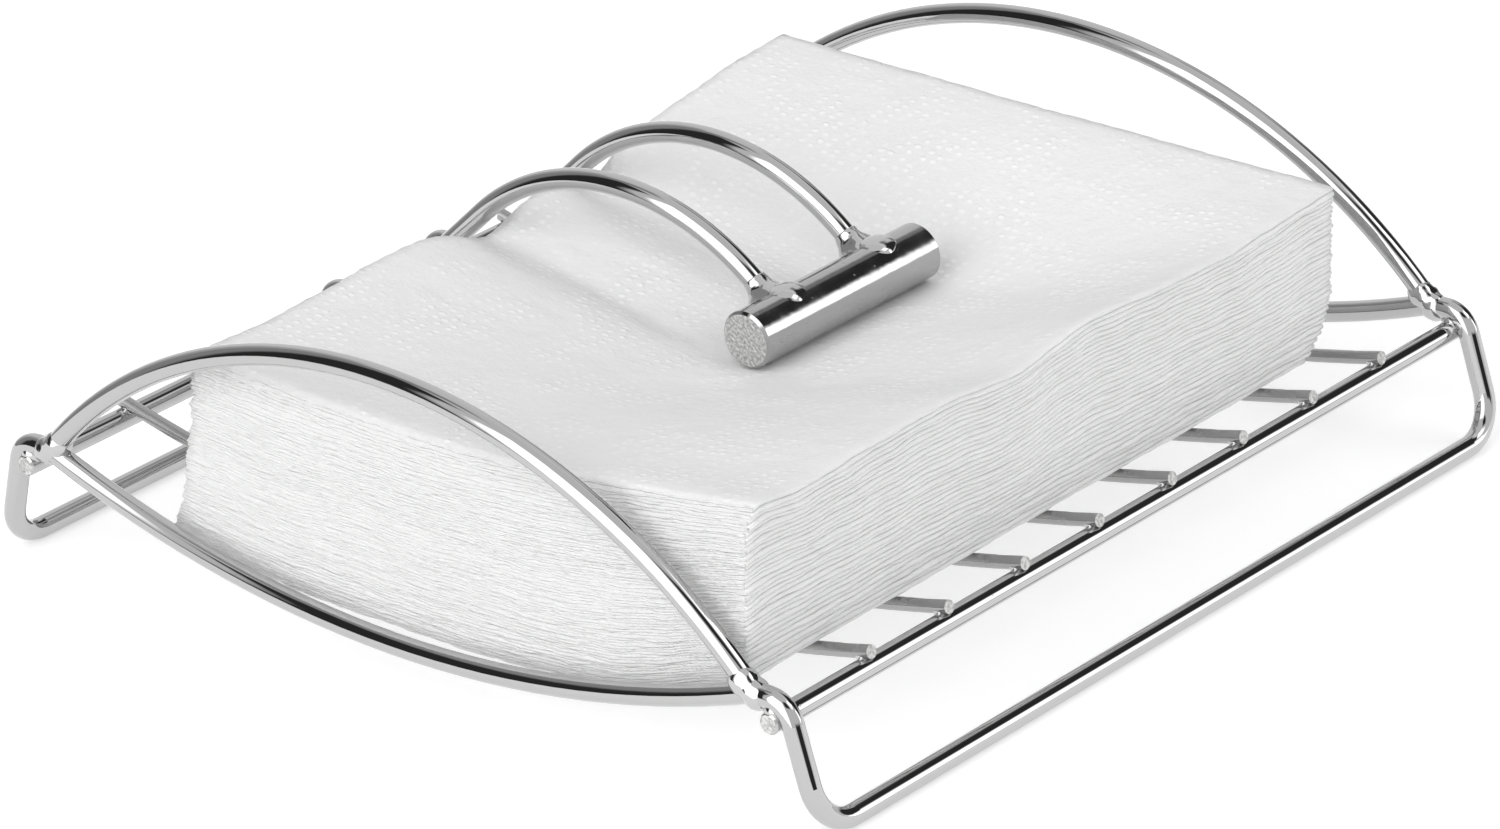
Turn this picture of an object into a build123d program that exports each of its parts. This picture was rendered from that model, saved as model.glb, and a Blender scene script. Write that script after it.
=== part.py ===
from build123d import *

import os
from math import acos, asin, atan2, cos, degrees, hypot, radians, sin, sqrt

# Flat wire napkin dispenser: a welded cradle of round wire holds a stack of folded
# napkins, and a weighted arm that swings on the left side rail keeps the stack down.
# Millimetres. X runs along the cradle arcs, Y from front to rear, Z up.
# The origin is on the table, under the middle of the frame.

os.makedirs("parts", exist_ok=True)

# ---- driving dimensions -------------------------------------------------------------

wire_d = 4.0            # arcs, arches, foot loops, side rails and arm
cross_d = 2.5           # thinner wires that carry the napkins
set_down = 0.3          # how far a resistance-welded wire sinks into the one below

arc_span = 167.2        # corner weld to corner weld, along X
frame_depth = 190.2     # front arc plane to rear arc plane
corner_z = 24.2         # height of the corner welds
arch_rise = 36.5        # top arch above its corners
cradle_sag = 15.1       # cradle arc below its corners
arch_setback = 1.5      # arch wire stops this short of the corner point

crest_reach = 7.4       # corner weld to the top of the leg
foot_outset = 13.6      # corner weld to the foot rail's centre
crest_bend_r = 5.0      # wire centre line, where the crest turns down into the leg
foot_bend_r = 8.0       # wire centre line, where the leg turns into the foot rail
butt_gap = 0.9          # end of the cradle arc to the start of the foot loop

rail_outset = 4.9       # corner weld to the side rail's centre
rail_overhang = 0.3     # rail end beyond the outside of the arc wires
cut_edge = 0.3          # deburred edge on the cut ends

cross_count = 8
cross_gap = 20.5        # centre to centre
cross_sag = 10.5        # middle of a cross wire below its ends
cross_over = 1.0        # cross wire end beyond the rail's centre line

hinge_clear = 0.08      # radial running clearance of the eye on its rail
eye_wrap = 280.0        # degrees of rail that the eye goes round
eye_side_gap = 0.5      # arm wire to the cross wire beside it
bow_r = 50.0            # bend of the arm, wire centre line
bow_centre_u = 71.3     # centre of that bend from the hinge rail, along X
bow_centre_w = -8.1     # and above the hinge rail
bar_angle = 40.6        # where the bar sits round the bend, in degrees above X
bar_lift = 1.2          # bar's centre outside the bend's centre line
bar_d = 10.8
bar_length = 48.0
bar_chamfer = 0.5
bar_arm_spread = 24.8   # between the two arm wires where they meet the bar

corner_bead_d = 6.4
corner_bead_lift = 0.6  # the bead is built up on top of the joint
rail_bead_d = 4.4       # under the crest, where the side rail is welded on
cross_bead_d = 2.6
collar_foot_wall = 2.1  # cone-shaped weld round an arm wire, thickness at the bar
collar_top_wall = 0.35  # and at its top
collar_height = 5.0

stack_front_gap = 2.1   # front arcs to the front edge of the napkins
stack_rear_gap = 24.1   # rear arc plane to their rear edge
stack_left_foot = 30.5  # hinge rail to the lowest napkin
stack_left_top = 37.0   # hinge rail to the highest napkin
stack_right_foot = 10.0  # right rail to the lowest napkin
stack_right_top = 8.0   # right rail to the highest napkin
stack_right_h = 36.2    # top of the stack above the right rail's centre
stack_left_h = 30.0     # top of the stack above the left rail's centre, front and rear
stack_front_dip = 6.0   # sag of the top between left and right, at the front
stack_rear_dip = 2.0    # and at the rear
stack_droop = 2.2       # front edge hangs below the last cross wire by this
paper_gap = 0.3         # napkins to the cross wires, and to the bar
arm_gap = 0.9           # napkins to the arm wires over them
pressed_half = 30.0     # half length of the stretch that the bar presses down

# ---- places worked out from them ----------------------------------------------------

wire_r = wire_d / 2
cross_r = cross_d / 2
bar_r = bar_d / 2
corner_x = arc_span / 2
arc_y = frame_depth / 2
foot_x = corner_x + foot_outset
rail_x = corner_x + rail_outset
rail_z = corner_z - wire_d + set_down
rail_end_y = arc_y + wire_r + rail_overhang
cross_z = rail_z + wire_r + cross_r - set_down
cross_ys = [(i - (cross_count - 1) / 2) * cross_gap for i in range(cross_count)]
cross_radius = (rail_x ** 2 + cross_sag ** 2) / (2 * cross_sag)
cross_centre_z = cross_z - cross_sag + cross_radius

# The arm lies in two upright planes that start beside the middle cross wires and
# close in a little towards the bar. In each plane u runs from the hinge rail to the
# bar and w runs up. The wire goes round the rail, then straight, then along the bend.
eye_r = wire_d + hinge_clear
eye_y = cross_gap / 2 + cross_r + eye_side_gap + wire_r
bar_u = bow_centre_u + (bow_r + bar_lift) * cos(radians(bar_angle))
bar_w = bow_centre_w + (bow_r + bar_lift) * sin(radians(bar_angle))
splay = asin((eye_y - bar_arm_spread / 2) / bar_u)
bar_x = bar_u * cos(splay) - rail_x
bar_z = rail_z + bar_w
centre_distance = hypot(bow_centre_u, bow_centre_w)
centre_angle = degrees(atan2(bow_centre_w, bow_centre_u))
run_normal = centre_angle - degrees(acos((bow_r + eye_r) / centre_distance))
bow_start_angle = run_normal + 180.0
bow_start_u = bow_centre_u + bow_r * cos(radians(bow_start_angle))
bow_start_w = bow_centre_w + bow_r * sin(radians(bow_start_angle))


def arc_radius(half_span, rise):
    """Radius of the circle through both ends and the top of an arc."""
    return (half_span ** 2 + rise ** 2) / (2 * rise)


def finish(piece, name):
    """Label a finished sub-part and write its STEP file."""
    piece.label = name
    export_step(piece, f"parts/{name}.step")


def arm_plane(side):
    """Plane of one arm wire, side -1 at the front and +1 at the rear."""
    u_axis = (cos(splay), -side * sin(splay), 0)
    w_axis_normal = (-side * sin(splay), -cos(splay), 0)
    return Plane(origin=(-rail_x, side * eye_y, rail_z), x_dir=u_axis, z_dir=w_axis_normal)


# ---- foot loops: crest, leg, foot rail, leg, crest, each bent from one wire ---------

foot_loops = {}
for loop_name, side in (("foot_loop_left", -1), ("foot_loop_right", 1)):
    start_x = side * (corner_x + butt_gap)
    crest_x = side * (corner_x + crest_reach)
    with BuildPart() as foot_loop:
        with BuildLine() as loop_path:
            FilletPolyline(
                (start_x, -arc_y, corner_z),
                (crest_x, -arc_y, corner_z),
                (side * foot_x, -arc_y, wire_r),
                (side * foot_x, arc_y, wire_r),
                (crest_x, arc_y, corner_z),
                (start_x, arc_y, corner_z),
                radius=[crest_bend_r, foot_bend_r, foot_bend_r, crest_bend_r],
            )
        with BuildSketch(Plane(origin=loop_path.line @ 0, z_dir=loop_path.line % 0)):
            Circle(wire_r)
        sweep()
    foot_loops[side] = foot_loop.part
    finish(foot_loop.part, loop_name)

# ---- cradle arcs: hang between the corners and stop the napkins at each end ---------

cradle_radius = arc_radius(corner_x, cradle_sag)
cradle_centre_z = corner_z - cradle_sag + cradle_radius
cradle_half = degrees(asin(corner_x / cradle_radius))
cradle_arcs = {}
for arc_name, side in (("cradle_arc_front", -1), ("cradle_arc_rear", 1)):
    with BuildPart() as cradle_arc:
        with BuildLine(Plane.XZ.offset(-side * arc_y)) as cradle_path:
            CenterArc((0, cradle_centre_z), cradle_radius, 270 - cradle_half, 2 * cradle_half)
        with BuildSketch(Plane(origin=cradle_path.line @ 0, z_dir=cradle_path.line % 0)):
            Circle(wire_r)
        sweep()
    cradle_arcs[side] = cradle_arc.part
    finish(cradle_arc.part, arc_name)

# ---- top arches: welded on top of the cradle arcs' ends -----------------------------

arch_radius = arc_radius(corner_x, arch_rise)
arch_centre_z = corner_z + arch_rise - arch_radius
arch_half = degrees(asin(corner_x / arch_radius) - arch_setback / arch_radius)
top_arches = {}
for arch_name, side in (("top_arch_front", -1), ("top_arch_rear", 1)):
    with BuildPart() as top_arch:
        with BuildLine(Plane.XZ.offset(-side * arc_y)) as arch_path:
            CenterArc((0, arch_centre_z), arch_radius, 90 - arch_half, 2 * arch_half)
        with BuildSketch(Plane(origin=arch_path.line @ 0, z_dir=arch_path.line % 0)):
            Circle(wire_r)
        sweep()
        add(cradle_arcs[side], mode=Mode.SUBTRACT)
        add(foot_loops[-1], mode=Mode.SUBTRACT)
        add(foot_loops[1], mode=Mode.SUBTRACT)
    top_arches[side] = top_arch.part
    finish(top_arch.part, arch_name)

# ---- side rails: straight wires welded under the crests; the left one is the hinge --

side_rails = {}
for rail_name, side in (("side_rail_left", -1), ("side_rail_right", 1)):
    with BuildPart() as side_rail:
        with BuildSketch(Plane.XZ.offset(-rail_end_y)):
            with Locations((side * rail_x, rail_z)):
                Circle(wire_r)
        extrude(amount=2 * rail_end_y)
        chamfer(side_rail.edges().filter_by(GeomType.CIRCLE), length=cut_edge)
        add(foot_loops[side], mode=Mode.SUBTRACT)
    side_rails[side] = side_rail.part
    finish(side_rail.part, rail_name)

# ---- cross wires: carry the napkins, sunk into both rails by their welds ------------

cross_half = degrees(asin((rail_x + cross_over) / cross_radius))
cross_wires = []
for i, cross_y in enumerate(cross_ys):
    with BuildPart() as cross_wire:
        with BuildLine(Plane.XZ.offset(-cross_y)) as cross_path:
            CenterArc((0, cross_centre_z), cross_radius, 270 - cross_half, 2 * cross_half)
        with BuildSketch(Plane(origin=cross_path.line @ 0, z_dir=cross_path.line % 0)):
            Circle(cross_r)
        sweep()
        add(side_rails[-1], mode=Mode.SUBTRACT)
        add(side_rails[1], mode=Mode.SUBTRACT)
    cross_wires.append(cross_wire.part)
    finish(cross_wire.part, f"cross_wire_{i + 1}")

# ---- weld beads of the frame --------------------------------------------------------

bead_origin = (corner_x, arc_y, corner_z + corner_bead_lift)
with BuildPart() as corner_weld_beads:
    with Locations(Plane(origin=bead_origin, x_dir=(0, 0, -1), z_dir=(0, 1, 0))):
        Sphere(corner_bead_d / 2)
    add(cradle_arcs[1], mode=Mode.SUBTRACT)
    add(top_arches[1], mode=Mode.SUBTRACT)
    add(foot_loops[1], mode=Mode.SUBTRACT)
    mirror(about=Plane.YZ)
    mirror(about=Plane.XZ)
finish(corner_weld_beads.part, "corner_weld_beads")

with BuildPart() as rail_weld_beads:
    with Locations((rail_x, arc_y, corner_z - wire_r)):
        Sphere(rail_bead_d / 2)
    add(side_rails[1], mode=Mode.SUBTRACT)
    add(foot_loops[1], mode=Mode.SUBTRACT)
    mirror(about=Plane.YZ)
    mirror(about=Plane.XZ)
finish(rail_weld_beads.part, "rail_weld_beads")

with BuildPart() as cross_weld_beads:
    for side_x in (-1, 1):
        for cross_y in cross_ys:
            with Locations((side_x * (rail_x - wire_r / 2), cross_y, rail_z + wire_r)):
                Sphere(cross_bead_d / 2)
    for cross_wire_part in cross_wires:
        add(cross_wire_part, mode=Mode.SUBTRACT)
    add(side_rails[-1], mode=Mode.SUBTRACT)
    add(side_rails[1], mode=Mode.SUBTRACT)
finish(cross_weld_beads.part, "cross_weld_beads")

# ---- weight bar: solid round bar whose weight keeps the napkins down ----------------

with BuildPart() as weight_bar:
    with BuildSketch(Plane.XZ.offset(-bar_length / 2)):
        with Locations((bar_x, bar_z)):
            Circle(bar_r)
    extrude(amount=bar_length)
    chamfer(weight_bar.edges().filter_by(GeomType.CIRCLE), length=bar_chamfer)
finish(weight_bar.part, "weight_bar")

# ---- arm wires: an eye round the left rail, a straight run, and the bend ------------

arm_wires = {}
for arm_name, side in (("arm_wire_front", -1), ("arm_wire_rear", 1)):
    with BuildPart() as arm_wire:
        with BuildLine(arm_plane(side)) as arm_path:
            eye = CenterArc((0, 0), eye_r, run_normal - eye_wrap, eye_wrap)
            run = Line(eye @ 1, (bow_start_u, bow_start_w))
            CenterArc(
                (bow_centre_u, bow_centre_w),
                bow_r,
                bow_start_angle,
                bar_angle - bow_start_angle,
            )
        with BuildSketch(Plane(origin=arm_path.line @ 0, z_dir=arm_path.line % 0)):
            Circle(wire_r)
        sweep()
        add(weight_bar.part, mode=Mode.SUBTRACT)
    arm_wires[side] = arm_wire.part
    finish(arm_wire.part, arm_name)

# ---- arm welds: a cone of weld metal round each arm wire where it meets the bar -----

collar_angle = radians(bar_angle) + bar_r / bow_r
collar_u = bow_centre_u + bow_r * cos(collar_angle)
collar_w = bow_centre_w + bow_r * sin(collar_angle)
with BuildPart() as arm_weld_beads:
    for side in (-1, 1):
        plane = arm_plane(side)
        foot_point = plane.from_local_coords((collar_u, collar_w, 0))
        up_wire = plane.from_local_coords(
            (collar_u - sin(collar_angle), collar_w + cos(collar_angle), 0)
        ) - foot_point
        with Locations(Plane(origin=foot_point, z_dir=up_wire)):
            Cone(wire_r + collar_foot_wall, wire_r + collar_top_wall, collar_height)
    add(weight_bar.part, mode=Mode.SUBTRACT)
    add(arm_wires[-1], mode=Mode.SUBTRACT)
    add(arm_wires[1], mode=Mode.SUBTRACT)
finish(arm_weld_beads.part, "arm_weld_beads")

# ---- napkin stack: folded napkins, dished by the cradle and pressed by the arm ------

under_radius = cross_radius - cross_r - paper_gap
left_foot_x = stack_left_foot - rail_x
right_foot_x = rail_x - stack_right_foot
left_top_x = stack_left_top - rail_x
right_top_x = rail_x - stack_right_top
run_slope = radians(run_normal + 90.0)
run_w = bow_start_w + (stack_left_top - bow_start_u) * sin(run_slope) / cos(run_slope)
pressed_left_h = run_w - (wire_r + arm_gap) / cos(run_slope)
pressed_bar_h = bar_w - bar_r - paper_gap


def under_z(x, droop):
    """Height of the stack's underside, which follows the cross wires."""
    return cross_centre_z - sqrt(under_radius ** 2 - x ** 2) - droop


def chord_h(x, left_h, right_h):
    """Height above the rails on the straight line from left top to right top."""
    share = (x - left_top_x) / (right_top_x - left_top_x)
    return left_h + share * (right_h - left_h)


front_y = -arc_y + wire_r + stack_front_gap
rear_y = arc_y - stack_rear_gap
droop_y = cross_ys[0] - cross_r - paper_gap
front_mid_h = chord_h(bar_x, stack_left_h, stack_right_h) - stack_front_dip
rear_mid_h = chord_h(bar_x, stack_left_h, stack_right_h) - stack_rear_dip
droop_share = (droop_y - front_y) / (-pressed_half - front_y)
droop_mid_h = front_mid_h + droop_share * (pressed_bar_h - front_mid_h)
droop_left_h = stack_left_h + droop_share * (pressed_left_h - stack_left_h)
stack_sections = (
    (front_y, stack_left_h, front_mid_h, stack_droop),
    (droop_y, droop_left_h, droop_mid_h, 0.0),
    (-pressed_half, pressed_left_h, pressed_bar_h, 0.0),
    (pressed_half, pressed_left_h, pressed_bar_h, 0.0),
    (rear_y, stack_left_h, rear_mid_h, 0.0),
)
with BuildPart() as napkin_stack:
    for section_y, left_h, mid_h, droop in stack_sections:
        with BuildSketch(Plane.XZ.offset(-section_y)):
            with BuildLine():
                ThreePointArc(
                    (left_foot_x, under_z(left_foot_x, droop)),
                    (0, under_z(0, droop)),
                    (right_foot_x, under_z(right_foot_x, droop)),
                )
                Line(
                    (right_foot_x, under_z(right_foot_x, droop)),
                    (right_top_x, rail_z + stack_right_h),
                )
                ThreePointArc(
                    (right_top_x, rail_z + stack_right_h),
                    (bar_x, rail_z + mid_h),
                    (left_top_x, rail_z + left_h),
                )
                Line(
                    (left_top_x, rail_z + left_h),
                    (left_foot_x, under_z(left_foot_x, droop)),
                )
            make_face()
    loft(ruled=True)
finish(napkin_stack.part, "napkin_stack")
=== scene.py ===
from math import radians

import bpy
import numpy as np
from mathutils import Matrix, Vector


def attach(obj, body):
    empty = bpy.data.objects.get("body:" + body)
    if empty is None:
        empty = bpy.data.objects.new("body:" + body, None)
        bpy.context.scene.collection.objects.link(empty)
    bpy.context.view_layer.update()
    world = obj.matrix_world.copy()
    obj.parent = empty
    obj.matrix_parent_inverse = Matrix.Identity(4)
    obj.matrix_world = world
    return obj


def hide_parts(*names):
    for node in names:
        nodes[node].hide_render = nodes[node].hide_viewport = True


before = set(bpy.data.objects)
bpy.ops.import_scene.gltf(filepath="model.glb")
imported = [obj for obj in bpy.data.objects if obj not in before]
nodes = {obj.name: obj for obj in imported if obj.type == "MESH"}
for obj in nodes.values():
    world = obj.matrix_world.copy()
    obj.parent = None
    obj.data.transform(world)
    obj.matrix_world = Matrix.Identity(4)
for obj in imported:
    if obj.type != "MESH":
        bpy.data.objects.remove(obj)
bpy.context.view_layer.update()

# ---- camera -------------------------------------------------------------------------
# A long lens from the front right corner of the dispenser, looking down on it and
# rolled a few degrees. Rows are the camera's right, up and forward directions.

camera_place = Vector((0.80005, -0.87882, 0.56273))
camera_right = Vector((0.75471356, 0.65386466, -0.0535579))
camera_up = Vector((-0.23707195, 0.34793301, 0.90704989))
camera_forward = Vector((-0.61172244, 0.67186577, -0.41760273))
lens_mm = 172.43

camera_data = bpy.data.cameras.new("camera")
camera_data.lens = lens_mm
camera_data.sensor_width = 36.0
camera_data.clip_start = 0.05
camera_data.clip_end = 50.0
camera = bpy.data.objects.new("camera", camera_data)
camera_turn = Matrix((camera_right, camera_up, -camera_forward)).transposed()
camera.matrix_world = Matrix.Translation(camera_place) @ camera_turn.to_4x4()
bpy.context.scene.collection.objects.link(camera)
bpy.context.scene.camera = camera
bpy.context.scene.view_settings.view_transform = "Standard"
bpy.context.scene.view_settings.look = "None"

# ---- studio: white floor, soft boxes and black flags --------------------------------
# A white table under a light tent. Large soft boxes light the paper and draw the white
# stripes in the chrome. Black flags between them draw its dark stripes. The table is
# small, so that the legs also mirror a flag beyond its edge.


def linear(hex_colour):
    """RGBA of an sRGB hex colour: each channel to the power that undoes the sRGB curve."""
    channels = [int(hex_colour[i : i + 2], 16) / 255 for i in (0, 2, 4)]
    straight = [((c + 0.055) / 1.055) ** 2.4 if c > 0.04045 else c / 12.92 for c in channels]
    return (*straight, 1.0)


def add_node(tree, kind, sockets=None, **settings):
    """Adds a node. A socket's value is a plain value, or another node's output to link."""
    added = tree.nodes.new(kind)
    for name, value in settings.items():
        setattr(added, name, value)
    for key, value in (sockets or {}).items():
        if isinstance(value, bpy.types.NodeSocket):
            tree.links.new(value, added.inputs[key])
        else:
            added.inputs[key].default_value = value
    return added


# Each panel: compass range and height range in degrees, softness of its left and right
# edges, lean in degrees of compass a degree of height, and its brightness.
tent_brightness = 0.70
panels = (
    ((-200.0, 200.0), (-95.0, -4.0), 4.0, 4.0, 0.0, 1.10),
    ((-200.0, -150.0), (-16.0, 70.0), 4.0, 6.0, 0.0, 0.30),
    ((163.0, 200.0), (-6.0, 48.0), 8.0, 4.0, 0.0, 0.45),
    ((118.0, 160.0), (-6.0, 60.0), 6.0, 8.0, 0.0, 0.75),
    ((-151.0, -124.0), (-10.0, 52.0), 6.0, 2.5, -0.12, 0.03),
    ((-120.0, -61.0), (-13.0, 60.0), 2.0, 5.0, 0.0, 2.15),
    ((-48.0, 2.0), (48.0, 68.0), 7.0, 6.0, 0.0, 0.03),
    ((18.0, 55.0), (41.0, 62.0), 6.0, 4.0, 0.0, 2.2),
    ((55.0, 125.0), (55.0, 64.0), 4.0, 8.0, 0.0, 0.8),
    ((92.0, 118.0), (39.0, 51.0), 5.0, 5.0, 0.0, 0.25),
    ((53.0, 99.0), (7.0, 51.0), 2.0, 5.0, 0.0, 0.03),
    ((37.0, 50.5), (4.0, 29.0), 3.0, 2.0, 0.0, 2.2),
    ((100.0, 117.0), (-6.0, 22.0), 4.0, 6.0, 0.0, 0.25),
    ((-24.0, 19.0), (-18.0, 9.0), 4.0, 4.0, 0.0, 0.03),
)
edge_softness = 3.0
studio_strength = 1.15

world = bpy.data.worlds.new("light_tent")
bpy.context.scene.world = world
world.use_nodes = True
sky = world.node_tree
sky.nodes.clear()
toward = add_node(sky, "ShaderNodeTexCoord").outputs["Generated"]
toward_xyz = add_node(sky, "ShaderNodeSeparateXYZ", {0: toward})
compass = add_node(
    sky, "ShaderNodeMath", {0: toward_xyz.outputs["Y"], 1: toward_xyz.outputs["X"]},
    operation="ARCTAN2",
).outputs[0]
height = add_node(
    sky, "ShaderNodeMath", {0: toward_xyz.outputs["Z"]}, operation="ARCSINE"
).outputs[0]
brightness = tent_brightness
for (west, east), (low, high), west_soft, east_soft, lean, panel_brightness in panels:
    leant = add_node(
        sky, "ShaderNodeMath", {0: height, 1: -lean, 2: compass}, operation="MULTIPLY_ADD"
    ).outputs[0]
    inside = 1.0
    for angle, start, end in (
        (leant, west - west_soft, west + west_soft),
        (leant, east + east_soft, east - east_soft),
        (height, low - edge_softness, low + edge_softness),
        (height, high + edge_softness, high - edge_softness),
    ):
        ramp = add_node(
            sky, "ShaderNodeMapRange",
            {"Value": angle, "From Min": radians(start), "From Max": radians(end)},
            interpolation_type="SMOOTHSTEP",
        ).outputs[0]
        inside = add_node(
            sky, "ShaderNodeMath", {0: inside, 1: ramp}, operation="MULTIPLY"
        ).outputs[0]
    brightness = add_node(
        sky, "ShaderNodeMix", {"Factor": inside, 2: brightness, 3: panel_brightness}
    ).outputs[0]
tent_light = add_node(
    sky, "ShaderNodeBackground", {"Color": brightness, "Strength": studio_strength}
)

# Behind everything there is plain white paper.
backdrop = add_node(sky, "ShaderNodeBackground", {"Color": linear("FFFFFF")})
seen = add_node(sky, "ShaderNodeLightPath").outputs["Is Camera Ray"]
tent_or_backdrop = add_node(
    sky, "ShaderNodeMixShader", {0: seen, 1: tent_light.outputs[0], 2: backdrop.outputs[0]}
)
add_node(sky, "ShaderNodeOutputWorld", {"Surface": tent_or_backdrop.outputs[0]})


def add_mesh(name, points, faces, material, smooth=True):
    """A mesh object at the origin, from an array of points and a list of faces."""
    data = bpy.data.meshes.new(name)
    data.from_pydata(points.tolist(), [], faces)
    data.polygons.foreach_set("use_smooth", np.full(len(data.polygons), smooth))
    data.materials.append(material)
    data.update()
    made = bpy.data.objects.new(name, data)
    bpy.context.scene.collection.objects.link(made)
    return made


def new_material(name):
    """A material, its node tree and its shader, with only the shader and the output."""
    made = bpy.data.materials.new(name)
    made.use_nodes = True
    tree = made.node_tree
    tree.nodes.clear()
    shader = add_node(tree, "ShaderNodeBsdfPrincipled")
    add_node(tree, "ShaderNodeOutputMaterial", {"Surface": shader.outputs[0]})
    return made, tree, shader


floor_paper, _, floor_shader = new_material("white_floor")
floor_shader.inputs["Base Color"].default_value = linear("E6E6E6")
floor_shader.inputs["Emission Color"].default_value = linear("FFFFFF")
floor_shader.inputs["Emission Strength"].default_value = 0.42
floor_shader.inputs["Roughness"].default_value = 0.9
floor_shader.inputs["Specular IOR Level"].default_value = 0.1
floor_half = 0.34
floor_corners = np.array(
    [[-1, -1, 0], [1, -1, 0], [1, 1, 0], [-1, 1, 0]], float
) * floor_half
floor = add_mesh("floor", floor_corners, [(0, 1, 2, 3)], floor_paper, False)

# ---- wires of the frame -------------------------------------------------------------
# Steel wire, bent and spot welded, then polished and plated with bright nickel and
# chromium. The plating is a mirror with a faint waviness and a few tiny pits.

MM = 0.001


def object_place(tree):
    """Object coordinates, in metres."""
    return add_node(tree, "ShaderNodeTexCoord").outputs["Object"]


def chrome(name, colour, roughness, wave_mm, wave_height_mm, pit_share, sawn_along=None):
    """Bright chromium plate. Gives a mirror whose sharpness varies from place to place.

    The bump is smooth noise of size wave_mm, less small round pits that show in
    pit_share of the places. Faces that look along the axis sawn_along, where a straight
    wire or bar was cut off, are matt and grainy, and paler."""
    patch_mm = 6.0
    pit_apart_mm, pit_deep_mm = 0.9, 0.05
    saw_grain_mm, saw_deep_mm, saw_roughness = 0.6, 0.35, 0.4
    saw_dark, saw_pale = linear("B4B4B3"), linear("E0E0DF")
    made, tree, shader = new_material(name)
    place = object_place(tree)
    patch = add_node(
        tree, "ShaderNodeTexNoise",
        {"Vector": place, "Scale": 1 / (patch_mm * MM), "Detail": 2.0},
    ).outputs["Fac"]
    gloss = add_node(
        tree, "ShaderNodeMapRange",
        {
            "Value": patch, "From Min": 0.3, "From Max": 0.7,
            "To Min": roughness * 0.6, "To Max": roughness * 1.5,
        },
    ).outputs[0]
    wave = add_node(
        tree, "ShaderNodeTexNoise",
        {"Vector": place, "Scale": 1 / (wave_mm * MM), "Detail": 1.0},
    ).outputs["Fac"]
    dots = add_node(
        tree, "ShaderNodeTexVoronoi", {"Vector": place, "Scale": 1 / (pit_apart_mm * MM)}
    )
    pit = add_node(
        tree, "ShaderNodeMapRange",
        {"Value": dots.outputs["Distance"], "From Min": 0.1, "From Max": 0.22},
        interpolation_type="SMOOTHSTEP",
    ).outputs[0]
    rare = add_node(
        tree, "ShaderNodeMath", {0: dots.outputs["Color"], 1: pit_share},
        operation="GREATER_THAN",
    ).outputs[0]
    hole = add_node(tree, "ShaderNodeMath", {0: pit, 1: rare}, operation="MAXIMUM").outputs[0]
    wavy = add_node(
        tree, "ShaderNodeBump",
        {"Height": wave, "Distance": wave_height_mm * MM, "Strength": 1.0},
    ).outputs[0]
    pitted = add_node(
        tree, "ShaderNodeBump",
        {"Height": hole, "Distance": pit_deep_mm * MM, "Strength": 1.0, "Normal": wavy},
    ).outputs[0]
    shader.inputs["Base Color"].default_value = linear(colour)
    if sawn_along:
        facing = add_node(
            tree, "ShaderNodeSeparateXYZ",
            {0: add_node(tree, "ShaderNodeTexCoord").outputs["Normal"]},
        ).outputs[sawn_along]
        facing = add_node(
            tree, "ShaderNodeMath", {0: facing}, operation="ABSOLUTE"
        ).outputs[0]
        sawn = add_node(
            tree, "ShaderNodeMath", {0: facing, 1: 0.95}, operation="GREATER_THAN"
        ).outputs[0]
        grain = add_node(
            tree, "ShaderNodeTexNoise",
            {"Vector": place, "Scale": 1 / (saw_grain_mm * MM), "Detail": 3.0},
        ).outputs["Fac"]
        grain_height = add_node(
            tree, "ShaderNodeMath", {0: grain, 1: sawn}, operation="MULTIPLY"
        ).outputs[0]
        gloss = add_node(
            tree, "ShaderNodeMix", {"Factor": sawn, 2: gloss, 3: saw_roughness}
        ).outputs[0]
        pitted = add_node(
            tree, "ShaderNodeBump",
            {
                "Height": grain_height, "Distance": saw_deep_mm * MM, "Strength": 1.0,
                "Normal": pitted,
            },
        ).outputs[0]
        speck = add_node(
            tree, "ShaderNodeMapRange", {"Value": grain, "From Min": 0.38, "From Max": 0.62}
        ).outputs[0]
        cut_face = add_node(
            tree, "ShaderNodeMix",
            {"Factor": speck, 6: saw_dark, 7: saw_pale}, data_type="RGBA",
        ).outputs[2]
        plate = add_node(
            tree, "ShaderNodeMix",
            {"Factor": sawn, 6: linear(colour), 7: cut_face}, data_type="RGBA",
        ).outputs[2]
        tree.links.new(plate, shader.inputs["Base Color"])
    shader.inputs["Metallic"].default_value = 1.0
    tree.links.new(gloss, shader.inputs["Roughness"])
    tree.links.new(pitted, shader.inputs["Normal"])
    return made


def finish_nodes(names, material):
    """Gives CAD nodes their finish."""
    for name in names:
        slots = nodes[name].data.materials
        for number in range(len(slots)):
            slots[number] = material


chrome_wire = chrome("chromium_plated_wire", "C0C0C0", 0.02, 5.0, 0.010, 0.03)
finish_nodes(
    ["foot_loop_left", "foot_loop_right", "cradle_arc_front", "cradle_arc_rear",
     "top_arch_front", "top_arch_rear"],
    chrome_wire,
)

# ---- side rails ---------------------------------------------------------------------
# Two straight wires under the crests of the foot loops, sawn off just past the arcs.

chrome_rail = chrome("chromium_plated_rail", "C0C0C0", 0.02, 5.0, 0.010, 0.05, "Y")
finish_nodes(["side_rail_left", "side_rail_right"], chrome_rail)

# ---- cross wires --------------------------------------------------------------------
# Eight thinner wires, projection welded on the side rails. Not buffed, so the plate is
# a satin grey, with pale cut ends.

chrome_thin = chrome("chromium_plated_thin_wire", "A6A6A6", 0.20, 3.0, 0.010, 0.04, "X")
finish_nodes([f"cross_wire_{i + 1}" for i in range(8)], chrome_thin)

# ---- weld beads of the frame --------------------------------------------------------
# Small lumps of weld metal at the joints, plated with the rest and not ground down, so
# they are bright but uneven. At each corner the metal has run along the joint of arch,
# cradle arc and foot loop.


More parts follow.
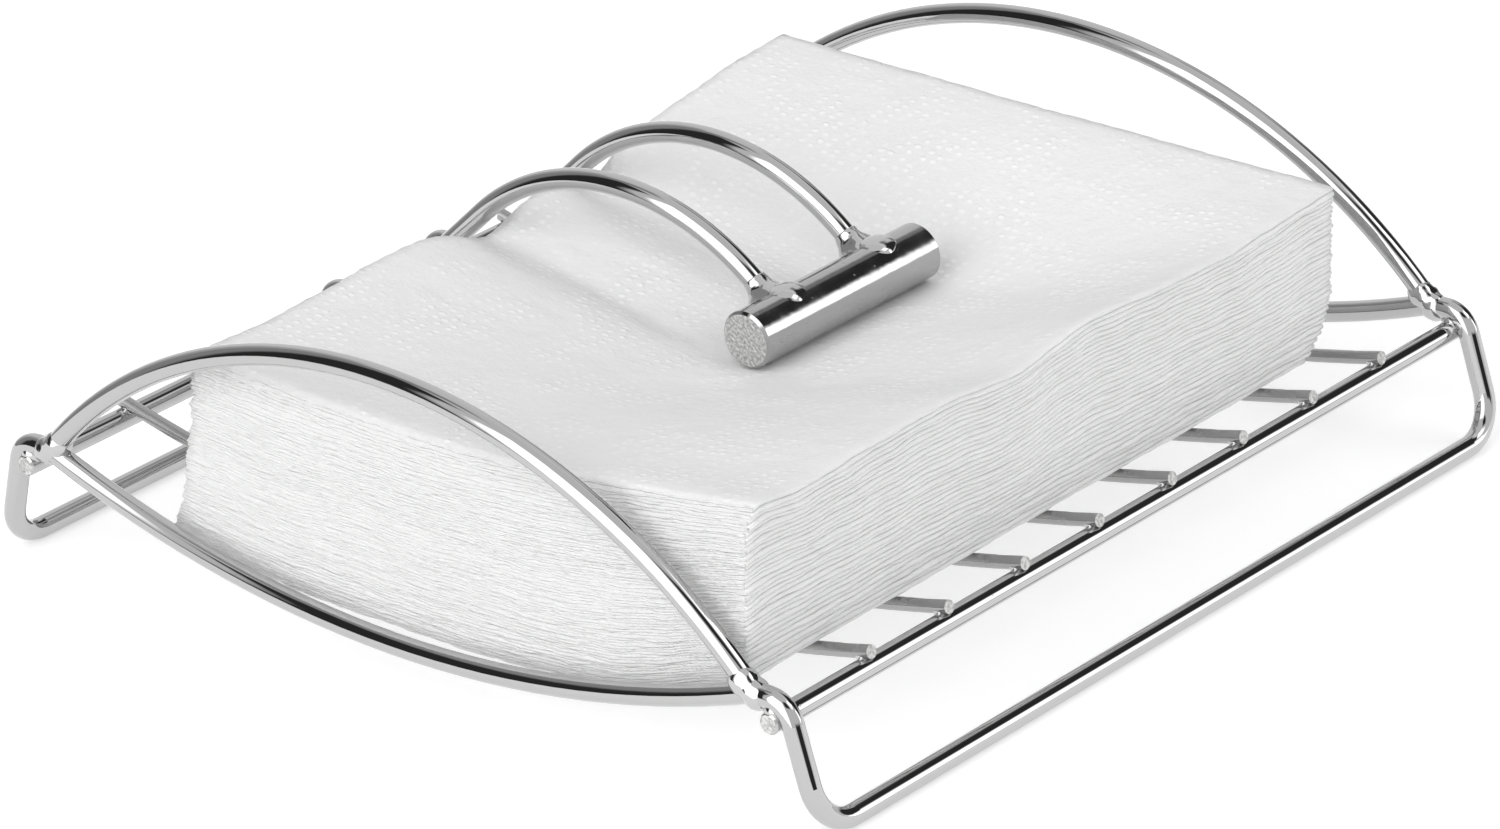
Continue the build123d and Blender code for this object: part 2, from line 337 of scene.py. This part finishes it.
def wander(seed, along, lengths, heights):
    """Sum of sine waves of the given lengths and heights, with phases drawn from seed."""
    phases = np.random.default_rng(seed).uniform(0, 2 * np.pi, len(lengths))
    total = np.zeros_like(along)
    for length, tall, phase in zip(lengths, heights, phases):
        total = total + tall * np.sin(2 * np.pi * along / length + phase)
    return total


def round_lump(
    name, middle, axis, ring_places, ring_radii, seed, roughness, material, saddle_mm=None
):
    """Rings of points round an axis, closed by a point at each end, in millimetres.

    A ring's radius is its own radius times one plus waves that run round and along.
    Three and five waves round each ring turn its circle into a weld's uneven one.
    With saddle_mm, the rings sag at their sides onto a bar of that radius: by how far
    the bar's circle drops there, fading out up the axis."""
    axis = np.array(axis) / np.linalg.norm(axis)
    aside = np.cross(axis, (0.0, 1.0, 0.0))
    aside = aside / np.linalg.norm(aside)
    over = np.cross(axis, aside)
    ring_points = 40
    angles = np.linspace(0, 2 * np.pi, ring_points, endpoint=False)
    around, along = np.meshgrid(angles, ring_places)
    uneven = roughness * (
        np.sin(3 * around + wander(seed, along, (5.0, 2.3), (1.0, 0.6)))
        + 0.7 * np.sin(5 * around + wander(seed + 1, along, (3.1, 1.7), (1.2, 0.8)))
        + wander(seed + 2, along, (4.0, 1.9), (0.8, 0.5))
    )
    radius = np.array(ring_radii)[:, None] * (1 + uneven)
    rings = (
        np.array(middle)
        + along[..., None] * axis
        + (radius * np.cos(around))[..., None] * aside
        + (radius * np.sin(around))[..., None] * over
    )
    if saddle_mm:
        off_top = np.minimum(np.abs(radius * np.cos(around)), 0.97 * saddle_mm)
        sag = saddle_mm - np.sqrt(saddle_mm ** 2 - off_top ** 2)
        fade_mm = 1.2
        rings = rings - (sag * np.exp(-np.maximum(along, 0.0) / fade_mm))[..., None] * axis
    ends = np.array(middle) + np.outer((ring_places[0], ring_places[-1]), axis)
    index = np.arange(rings.shape[0] * ring_points).reshape(-1, ring_points)
    after = np.roll(index, -1, axis=1)
    walls = np.stack([index[:-1], after[:-1], after[1:], index[1:]], axis=-1).reshape(-1, 4)
    low_end, high_end = index.size, index.size + 1
    lids = [(low_end, b, a) for a, b in zip(index[0], after[0])]
    lids += [(high_end, a, b) for a, b in zip(index[-1], after[-1])]
    points = np.concatenate([rings.reshape(-1, 3), ends]) * MM
    faces = walls.tolist() + lids
    return add_mesh(name, points, faces, material)


chrome_weld = chrome("chromium_plated_weld", "C6C6C6", 0.08, 2.0, 0.035, 0.04)
finish_nodes(["rail_weld_beads", "cross_weld_beads"], chrome_weld)

corner_middle_mm = (83.0, 95.1, 24.9)
corner_slope = (0.84, 0.0, -0.54)
corner_half_mm, corner_thick_mm = 4.6, 2.55
corner_share = np.sin(np.linspace(-np.pi / 2, np.pi / 2, 25))[1:-1]
for corner, (side_x, side_y) in enumerate(((-1, -1), (1, -1), (-1, 1), (1, 1))):
    lump = round_lump(
        f"corner_weld_{corner + 1}",
        (side_x * corner_middle_mm[0], side_y * corner_middle_mm[1], corner_middle_mm[2]),
        (side_x * corner_slope[0], 0.0, corner_slope[2]),
        corner_share * corner_half_mm,
        corner_thick_mm * (1 - corner_share ** 4) ** 0.5,
        seed=40 + 5 * corner, roughness=0.035, material=chrome_weld,
    )
    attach(lump, "frame")
    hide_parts("corner_weld_beads")

# ---- arm wires ----------------------------------------------------------------------
# Two wires with an eye bent round the left rail, the same plated wire as the frame.

finish_nodes(["arm_wire_front", "arm_wire_rear"], chrome_wire)

# ---- arm welds ----------------------------------------------------------------------
# Weld metal run round the end of each arm wire, flaring out on the bar, and a low lump
# beside it where the metal has run on over the top of the bar.

arm_weld_foot_mm = (17.2, 12.47, 48.6)
bar_radius_mm = 5.4
weld_run_mm = (21.2, 0.5, 50.2)      # foot of the low lump: x, step in y, z
weld_run_axis = (0.035, 0.0, 0.999)
arm_weld_axis = (-0.729, 0.0, 0.685)
for arm, side_y in (("front", -1), ("rear", 1)):
    height_mm = np.linspace(-0.9, 4.2, 24)
    flare = 2.1 + 3.7 * np.exp(-((height_mm + 0.9) / 2.3) ** 1.6)
    skirt = round_lump(
        f"arm_weld_{arm}",
        (arm_weld_foot_mm[0], side_y * arm_weld_foot_mm[1], arm_weld_foot_mm[2]),
        arm_weld_axis, height_mm, flare, seed=70 + side_y, roughness=0.022,
        material=chrome_weld, saddle_mm=bar_radius_mm,
    )
    rise_mm = np.linspace(-0.6, 1.75, 18)
    dome = 4.0 * np.sqrt(1 - (np.maximum(rise_mm, 0) / 1.8) ** 2)
    run = round_lump(
        f"arm_weld_run_{arm}",
        (weld_run_mm[0], side_y * arm_weld_foot_mm[1] + weld_run_mm[1], weld_run_mm[2]),
        weld_run_axis, rise_mm, dome, seed=90 + side_y, roughness=0.025,
        material=chrome_weld, saddle_mm=bar_radius_mm,
    )
    for lump in (skirt, run):
        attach(lump, "arm")
        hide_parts("arm_weld_beads")

# ---- weight bar ---------------------------------------------------------------------
# Solid bright steel bar, cut to length and plated, but hardly polished first. Its
# stripes are soft, with pits, and the sawn ends show the grain of the cut.

chrome_bar = chrome("chromium_plated_bar", "B4B4B4", 0.10, 2.2, 0.022, 0.20, "Y")
finish_nodes(["weight_bar"], chrome_bar)

# ---- napkins ------------------------------------------------------------------------
# A stack of soft white paper napkins, each a sheet folded once with the fold at the
# right. The cradle dishes the stack, the arm presses its middle, and the front edge
# hangs over the front cross wire.

napkin_count = 34
layer_count = 2 * napkin_count
folded_mm, napkin_long_mm = 134.0, 162.0
paper_share = 0.935      # of a layer's height that is paper, the rest is air
front_matting = 0.75     # of that air that the fuzz of the front edge fills
parted = {24: 0.30, 44: 0.55, 45: 0.35, 53: 0.25}      # layers that gape at the front corner


def smooth_step(t):
    """3t2 - 2t3 between 0 and 1, flat outside."""
    t = np.clip(t, 0.0, 1.0)
    return t * t * (3 - 2 * t)


under_radius_mm, under_centre_mm = 376.65, 391.15
lip_start_mm, lip_long_mm = -73.3, 17.7
stack_left_mm, stack_right_mm = -51.5, 80.5
shoulder_start_mm, shoulder_long_mm, shoulder_drop_mm = -84.0, 7.0, 2.2

# Heights along y, as (y, z) pairs: the left rim dips under the two arm wires, the
# bottom of the valley lies under the bar, and the right rim is a little wavy.
left_rim = (
    (-91.0, 49.8), (-75.0, 49.0), (-50.0, 50.0), (-34.0, 50.8), (-24.0, 49.4),
    (-18.0, 46.0), (-13.9, 43.4), (-10.0, 45.6), (-4.0, 48.6), (4.0, 48.8),
    (10.0, 45.8), (13.9, 43.4), (18.0, 46.4), (23.0, 50.6), (28.0, 51.8),
    (42.0, 53.6), (57.0, 55.4), (71.0, 56.4),
)
right_rim = (
    (-91.0, 56.6), (-84.0, 54.4), (-76.0, 53.8), (-60.0, 55.0), (-36.0, 55.3),
    (-20.0, 53.0), (-8.0, 54.8), (1.0, 56.2), (17.0, 55.0), (40.0, 53.8),
    (55.0, 54.8), (71.0, 55.4),
)
valley_height = (
    (-91.0, 48.0), (-60.0, 45.6), (-42.0, 42.2), (-25.0, 39.9), (25.0, 39.9),
    (37.0, 44.5), (50.0, 50.5), (62.0, 54.4), (71.0, 55.7),
)
valley_place = ((-91.0, 5.0), (-45.0, 17.0), (-25.0, 21.7), (71.0, 21.7))
# Creases in the top napkins, from the left rim to the bar: start, end, depth, width.
creases = (
    ((-50.0, -6.0), (-10.0, -5.0), 0.60, 2.2),
    ((-47.0, -11.0), (18.0, -23.0), 0.85, 2.4),
)


def soft_line(knots, at, soft_mm=3.5):
    """Straight runs between the knots, rounded by a bell-shaped average soft_mm wide."""
    fine = np.arange(-140.0, 120.0, 0.5)
    runs = np.interp(fine, *np.array(knots).T)
    bell = np.exp(-0.5 * (np.arange(-12.0, 12.25, 0.5) / soft_mm) ** 2)
    return np.interp(at, fine, np.convolve(runs, bell / bell.sum(), mode="same"))


def stack_under(x, y):
    """Circle of the cross wires, less the droop of the lip before the front one.

    The lip hangs by a square law, more towards the left and less at its right corner."""
    droop = 4.9 + 0.8 * smooth_step((5.0 - x) / 40.0) - 4.4 * smooth_step((x - 45.0) / 33.3)
    lip = np.clip((lip_start_mm - y) / lip_long_mm, 0.0, 1.0) ** 2
    return under_centre_mm - np.sqrt(under_radius_mm ** 2 - x ** 2) - droop * lip


def stack_top(x, y):
    """Valley across x: power 1.5 of the run from its bottom up to each rim.

    The rims, the bottom and its place change along y. Each crease takes a bell-shaped
    groove away, fading in and out along its length. The front edge is rounded off by a
    square law."""
    bottom_x, bottom_z = soft_line(valley_place, y), soft_line(valley_height, y)
    left_run = np.clip((bottom_x - x) / (bottom_x - stack_left_mm), 0.0, 1.2)
    right_run = np.clip((x - bottom_x) / (stack_right_mm - bottom_x), 0.0, 1.2)
    top = (
        bottom_z
        + (soft_line(left_rim, y) - bottom_z) * left_run ** 1.5
        + (soft_line(right_rim, y) - bottom_z) * right_run ** 1.5
    )
    for start, end, depth, width in creases:
        run = np.array(end) - np.array(start)
        length = np.hypot(*run)
        along = ((x - start[0]) * run[0] + (y - start[1]) * run[1]) / length ** 2
        aside = ((x - start[0]) * run[1] - (y - start[1]) * run[0]) / length
        fade = smooth_step(along / 0.3) * smooth_step((1.0 - along) / 0.3)
        top = top - depth * fade * np.exp(-((aside / width) ** 2))
    shoulder = np.clip((shoulder_start_mm - y) / shoulder_long_mm, 0.0, 1.0) ** 2
    return top - shoulder_drop_mm * shoulder


def layer_weights(x, y):
    """Share of the stack's height that each layer takes, uneven from place to place."""
    weights = []
    for layer in range(layer_count):
        uneven = wander(1000 + layer, x, (83.0, 31.0, 11.0), (0.10, 0.07, 0.05))
        uneven = uneven + wander(2000 + layer, y, (97.0, 37.0, 12.0), (0.15, 0.12, 0.10))
        weights.append(1.0 + uneven)
    heights = np.cumsum(np.array(weights), axis=0)
    return heights / heights[-1]


across = np.linspace(0.0, 1.0, 58)
along_y = np.linspace(0.0, 1.0, 76)
fold_turns = np.linspace(-90.0, 90.0, 7)[1:-1]

# Outline of the stack. The left edges lean out downwards, the folds lean out upwards, the
# front draws back at the top, and the rear draws in at the bottom.
left_edge_mm, left_lean_mm = -50.3, 7.8
right_edge_mm, right_lean_mm = 78.3, 1.7
front_edge_mm, front_back_mm, front_back_share = -90.9, 2.4, 0.25
rear_edge_mm, rear_in_mm, rear_in_share = 70.8, 8.0, 0.33


def napkin_sheet(napkin, material):
    """Folded sheet: lower layer, half turn at the right edge, upper layer.

    A point at share s across and share t along lies at the layer's own outline, and at
    the height that the layers below it add up to. The paper lies between half its
    thickness below that and half above, closed round the rim. The fuzz of the front edge
    fills most of the air there, the folds have more air, and a few layers gape."""
    s_grid, t_grid = np.meshgrid(across, along_y, indexing="ij")
    layers = []
    for layer in (2 * napkin, 2 * napkin + 1):
        share = (layer + 0.5) / layer_count
        shift = wander(31, np.array(float(layer)), (37.0, 11.0, 5.3), (0.35, 0.25, 0.2))
        left = left_edge_mm - left_lean_mm * (1 - share) ** 2 + shift
        left = left + wander(
            3000 + layer, t_grid * napkin_long_mm, (50.0, 17.0, 5.0), (0.2, 0.12, 0.12)
        )
        right = right_edge_mm + right_lean_mm * share
        right = right + wander(
            4000 + napkin, t_grid * napkin_long_mm, (70.0, 19.0, 6.0), (0.16, 0.12, 0.10)
        )
        top_share = (share - (1 - front_back_share)) / front_back_share
        front = front_edge_mm + front_back_mm * np.clip(top_share, 0.0, 1.0) ** 2
        front = front + wander(
            5000 + layer, s_grid * folded_mm, (45.0, 13.0, 4.0), (0.12, 0.08, 0.08)
        )
        rear = rear_edge_mm - rear_in_mm * np.clip(1 - share / rear_in_share, 0.0, 1.0) ** 2
        rear = rear + wander(
            6000 + layer, s_grid * folded_mm, (45.0, 13.0, 4.0), (0.12, 0.08, 0.08)
        )
        x = left + s_grid * (right - left)
        y = front + t_grid * (rear - front)
        under, top = stack_under(x, y), stack_top(x, y)
        levels = layer_weights(x, y)
        low = levels[layer - 1] if layer else np.zeros_like(x)
        high = levels[layer]
        z = under + (top - under) * (low + high) / 2
        share_here = paper_share + wander(
            7000 + layer, x + 1.7 * y, (29.0, 13.0, 7.0), (0.03, 0.03, 0.025)
        )
        matted = smooth_step((-86.0 - y) / 4.0) * smooth_step((70.0 - x) / 25.0)
        matted = front_matting * matted
        share_here = share_here + (1.0 - share_here) * matted
        share_here = share_here - 0.06 * smooth_step((x - 70.0) / 10.0)
        share_here = share_here - parted.get(layer, 0.0) * (
            smooth_step((x - 52.0) / 20.0) * smooth_step((-78.0 - y) / 12.0)
        )
        thick = (top - under) * (high - low) * share_here
        layers.append((x, y, z, thick))
    (x0, y0, z0, k0), (x1, y1, z1, k1) = layers
    turn_r = (z1[-1] - z0[-1]) / 2
    turn = np.radians(fold_turns)[:, None]
    edge = (x0[-1] + x1[-1]) / 2 - turn_r
    inset = np.linspace(0.0, 1.0, len(across))[:, None]
    x0 = x0 - inset * (x0[-1] - edge)
    x1 = x1 - inset * (x1[-1] - edge)
    fold_x = edge + turn_r * np.cos(turn)
    fold_z = (z0[-1] + z1[-1]) / 2 + turn_r * np.sin(turn)
    mix = (np.sin(turn) + 1) / 2
    fold_y = y0[-1] * (1 - mix) + y1[-1] * mix
    fold_k = k0[-1] * (1 - mix) + k1[-1] * mix
    middle = np.stack(
        [
            np.concatenate([x0, fold_x, x1[::-1]]),
            np.concatenate([y0, fold_y, y1[::-1]]),
            np.concatenate([z0, fold_z, z1[::-1]]),
        ],
        axis=-1,
    )
    thick = np.concatenate([k0, fold_k, k1[::-1]])
    outward = -np.cross(np.gradient(middle, axis=0), np.gradient(middle, axis=1))
    outward = outward / np.linalg.norm(outward, axis=-1, keepdims=True)
    half = outward * thick[..., None] / 2
    rows, columns = thick.shape
    points = np.concatenate([(middle + half).reshape(-1, 3), (middle - half).reshape(-1, 3)])
    index = np.arange(rows * columns).reshape(rows, columns)
    a, b, c, d = index[:-1, :-1], index[1:, :-1], index[1:, 1:], index[:-1, 1:]
    outer = np.stack([a, d, c, b], axis=-1).reshape(-1, 4)
    inner = np.stack([a, b, c, d], axis=-1).reshape(-1, 4) + rows * columns
    rim = np.concatenate([index[:-1, 0], index[-1, :-1], index[:0:-1, -1], index[0, :0:-1]])
    next_rim = np.roll(rim, -1)
    rim_faces = np.stack(
        [rim, next_rim, next_rim + rows * columns, rim + rows * columns], axis=-1
    )
    faces = np.concatenate([outer, inner, rim_faces])
    return add_mesh(f"napkin_{napkin + 1:02d}", points * MM, faces.tolist(), material)


def tissue_paper(name, colour):
    """Soft tissue of short white fibres, embossed with small dashes. Matt, no clear shine.
    The dashes are also painted paler than the paper: a painted highlight on their raised
    tops.

    The dashes are about 1.5 mm long and 1 mm wide, and stop short of the edges. The
    edges show fibres instead, drawn coarser than real ones so that they can be seen."""
    dash_apart_mm = (2.9, 2.0)
    dash_turn = radians(8)
    # Painted highlight: the raised dashes are painted this paler white.
    painted_dash_highlight = linear("FCFCFC")
    fibre_long_mm, fibre_thick_mm = 1.3, 0.25
    pressed_mm, lump_mm, crepe_mm = 11.0, 3.5, 0.8
    edge_and_inner_mm = (("X", 78.0, 75.0), ("Y", -90.0, -87.5))
    made, tree, shader = new_material(name)
    place = object_place(tree)
    normal_parts = add_node(
        tree, "ShaderNodeSeparateXYZ",
        {0: add_node(tree, "ShaderNodeTexCoord").outputs["Normal"]},
    )
    upright = add_node(
        tree, "ShaderNodeMath", {0: normal_parts.outputs["Z"]}, operation="ABSOLUTE"
    ).outputs[0]
    flat = add_node(
        tree, "ShaderNodeMapRange",
        {"Value": upright, "From Min": 0.6, "From Max": 0.9},
        interpolation_type="SMOOTHSTEP",
    ).outputs[0]
    cells = add_node(
        tree, "ShaderNodeMapping",
        {
            "Vector": place, "Rotation": (0.0, 0.0, dash_turn),
            "Scale": (1 / (dash_apart_mm[0] * MM), 1 / (dash_apart_mm[1] * MM), 1.0),
        },
    ).outputs[0]
    dash_distance = add_node(
        tree, "ShaderNodeTexVoronoi",
        {"Vector": cells, "Scale": 1.0, "Randomness": 0.45}, voronoi_dimensions="2D",
    ).outputs["Distance"]
    dash = add_node(
        tree, "ShaderNodeMapRange",
        {"Value": dash_distance, "From Min": 0.34, "From Max": 0.14},
        interpolation_type="SMOOTHSTEP",
    ).outputs[0]
    place_parts = add_node(tree, "ShaderNodeSeparateXYZ", {0: place})
    for part, edge_mm, inner_mm in edge_and_inner_mm:
        inside = add_node(
            tree, "ShaderNodeMapRange",
            {
                "Value": place_parts.outputs[part], "From Min": edge_mm * MM,
                "From Max": inner_mm * MM,
            },
            interpolation_type="SMOOTHSTEP",
        ).outputs[0]
        flat = add_node(
            tree, "ShaderNodeMath", {0: flat, 1: inside}, operation="MULTIPLY"
        ).outputs[0]
    pressed = add_node(
        tree, "ShaderNodeTexNoise",
        {"Vector": place, "Scale": 1 / (pressed_mm * MM), "Detail": 2.0},
    ).outputs["Fac"]
    depth = add_node(
        tree, "ShaderNodeMapRange", {"Value": pressed, "From Min": 0.42, "From Max": 0.7}
    ).outputs[0]
    dash_height = add_node(
        tree, "ShaderNodeMath", {0: dash, 1: depth}, operation="MULTIPLY"
    ).outputs[0]
    dash_height = add_node(
        tree, "ShaderNodeMath", {0: dash_height, 1: flat}, operation="MULTIPLY"
    ).outputs[0]
    fibre_scale = (1 / (fibre_long_mm * MM),) * 2 + (1 / (fibre_thick_mm * MM),)
    long_fibre = add_node(
        tree, "ShaderNodeMapping", {"Vector": place, "Scale": fibre_scale}
    ).outputs[0]
    edge_fibre = add_node(
        tree, "ShaderNodeTexNoise", {"Vector": long_fibre, "Scale": 1.0, "Detail": 4.0}
    ).outputs["Fac"]
    cut_or_fold = []
    for part, share in (("X", 0.4), ("Y", 1.0)):
        turned = add_node(
            tree, "ShaderNodeMath", {0: normal_parts.outputs[part]}, operation="ABSOLUTE"
        ).outputs[0]
        cut_or_fold.append(
            add_node(
                tree, "ShaderNodeMath", {0: turned, 1: share}, operation="MULTIPLY"
            ).outputs[0]
        )
    edge_only = add_node(
        tree, "ShaderNodeMath", {0: cut_or_fold[0], 1: cut_or_fold[1]}, operation="MAXIMUM"
    ).outputs[0]
    edge_height = add_node(
        tree, "ShaderNodeMath", {0: edge_fibre, 1: edge_only}, operation="MULTIPLY"
    ).outputs[0]
    crepe = add_node(
        tree, "ShaderNodeTexNoise",
        {"Vector": place, "Scale": 1 / (crepe_mm * MM), "Detail": 4.0},
    ).outputs["Fac"]
    # Base colour: the paper, painted paler on the dashes as a painted highlight on their
    # raised tops.
    tint = add_node(
        tree, "ShaderNodeMix",
        {"Factor": dash_height, 6: linear(colour), 7: painted_dash_highlight}, data_type="RGBA",
    ).outputs[2]
    lumps = add_node(
        tree, "ShaderNodeTexNoise",
        {"Vector": place, "Scale": 1 / (lump_mm * MM), "Detail": 3.0},
    ).outputs["Fac"]
    normal = None
    for relief, tall_mm in (
        (pressed, 0.7), (lumps, 0.30), (crepe, 0.12), (edge_height, 0.45),
        (dash_height, 0.14),
    ):
        bumps = {"Height": relief, "Distance": tall_mm * MM, "Strength": 1.0}
        if normal is not None:
            bumps["Normal"] = normal
        normal = add_node(tree, "ShaderNodeBump", bumps).outputs[0]
    shader.inputs["Roughness"].default_value = 0.95
    shader.inputs["Specular IOR Level"].default_value = 0.15
    tree.links.new(tint, shader.inputs["Base Color"])
    tree.links.new(normal, shader.inputs["Normal"])
    return made


tissue = tissue_paper("embossed_tissue_paper", "EFEFEF")
for napkin in range(napkin_count):
    sheet = napkin_sheet(napkin, tissue)
    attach(sheet, "frame")
    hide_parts("napkin_stack")
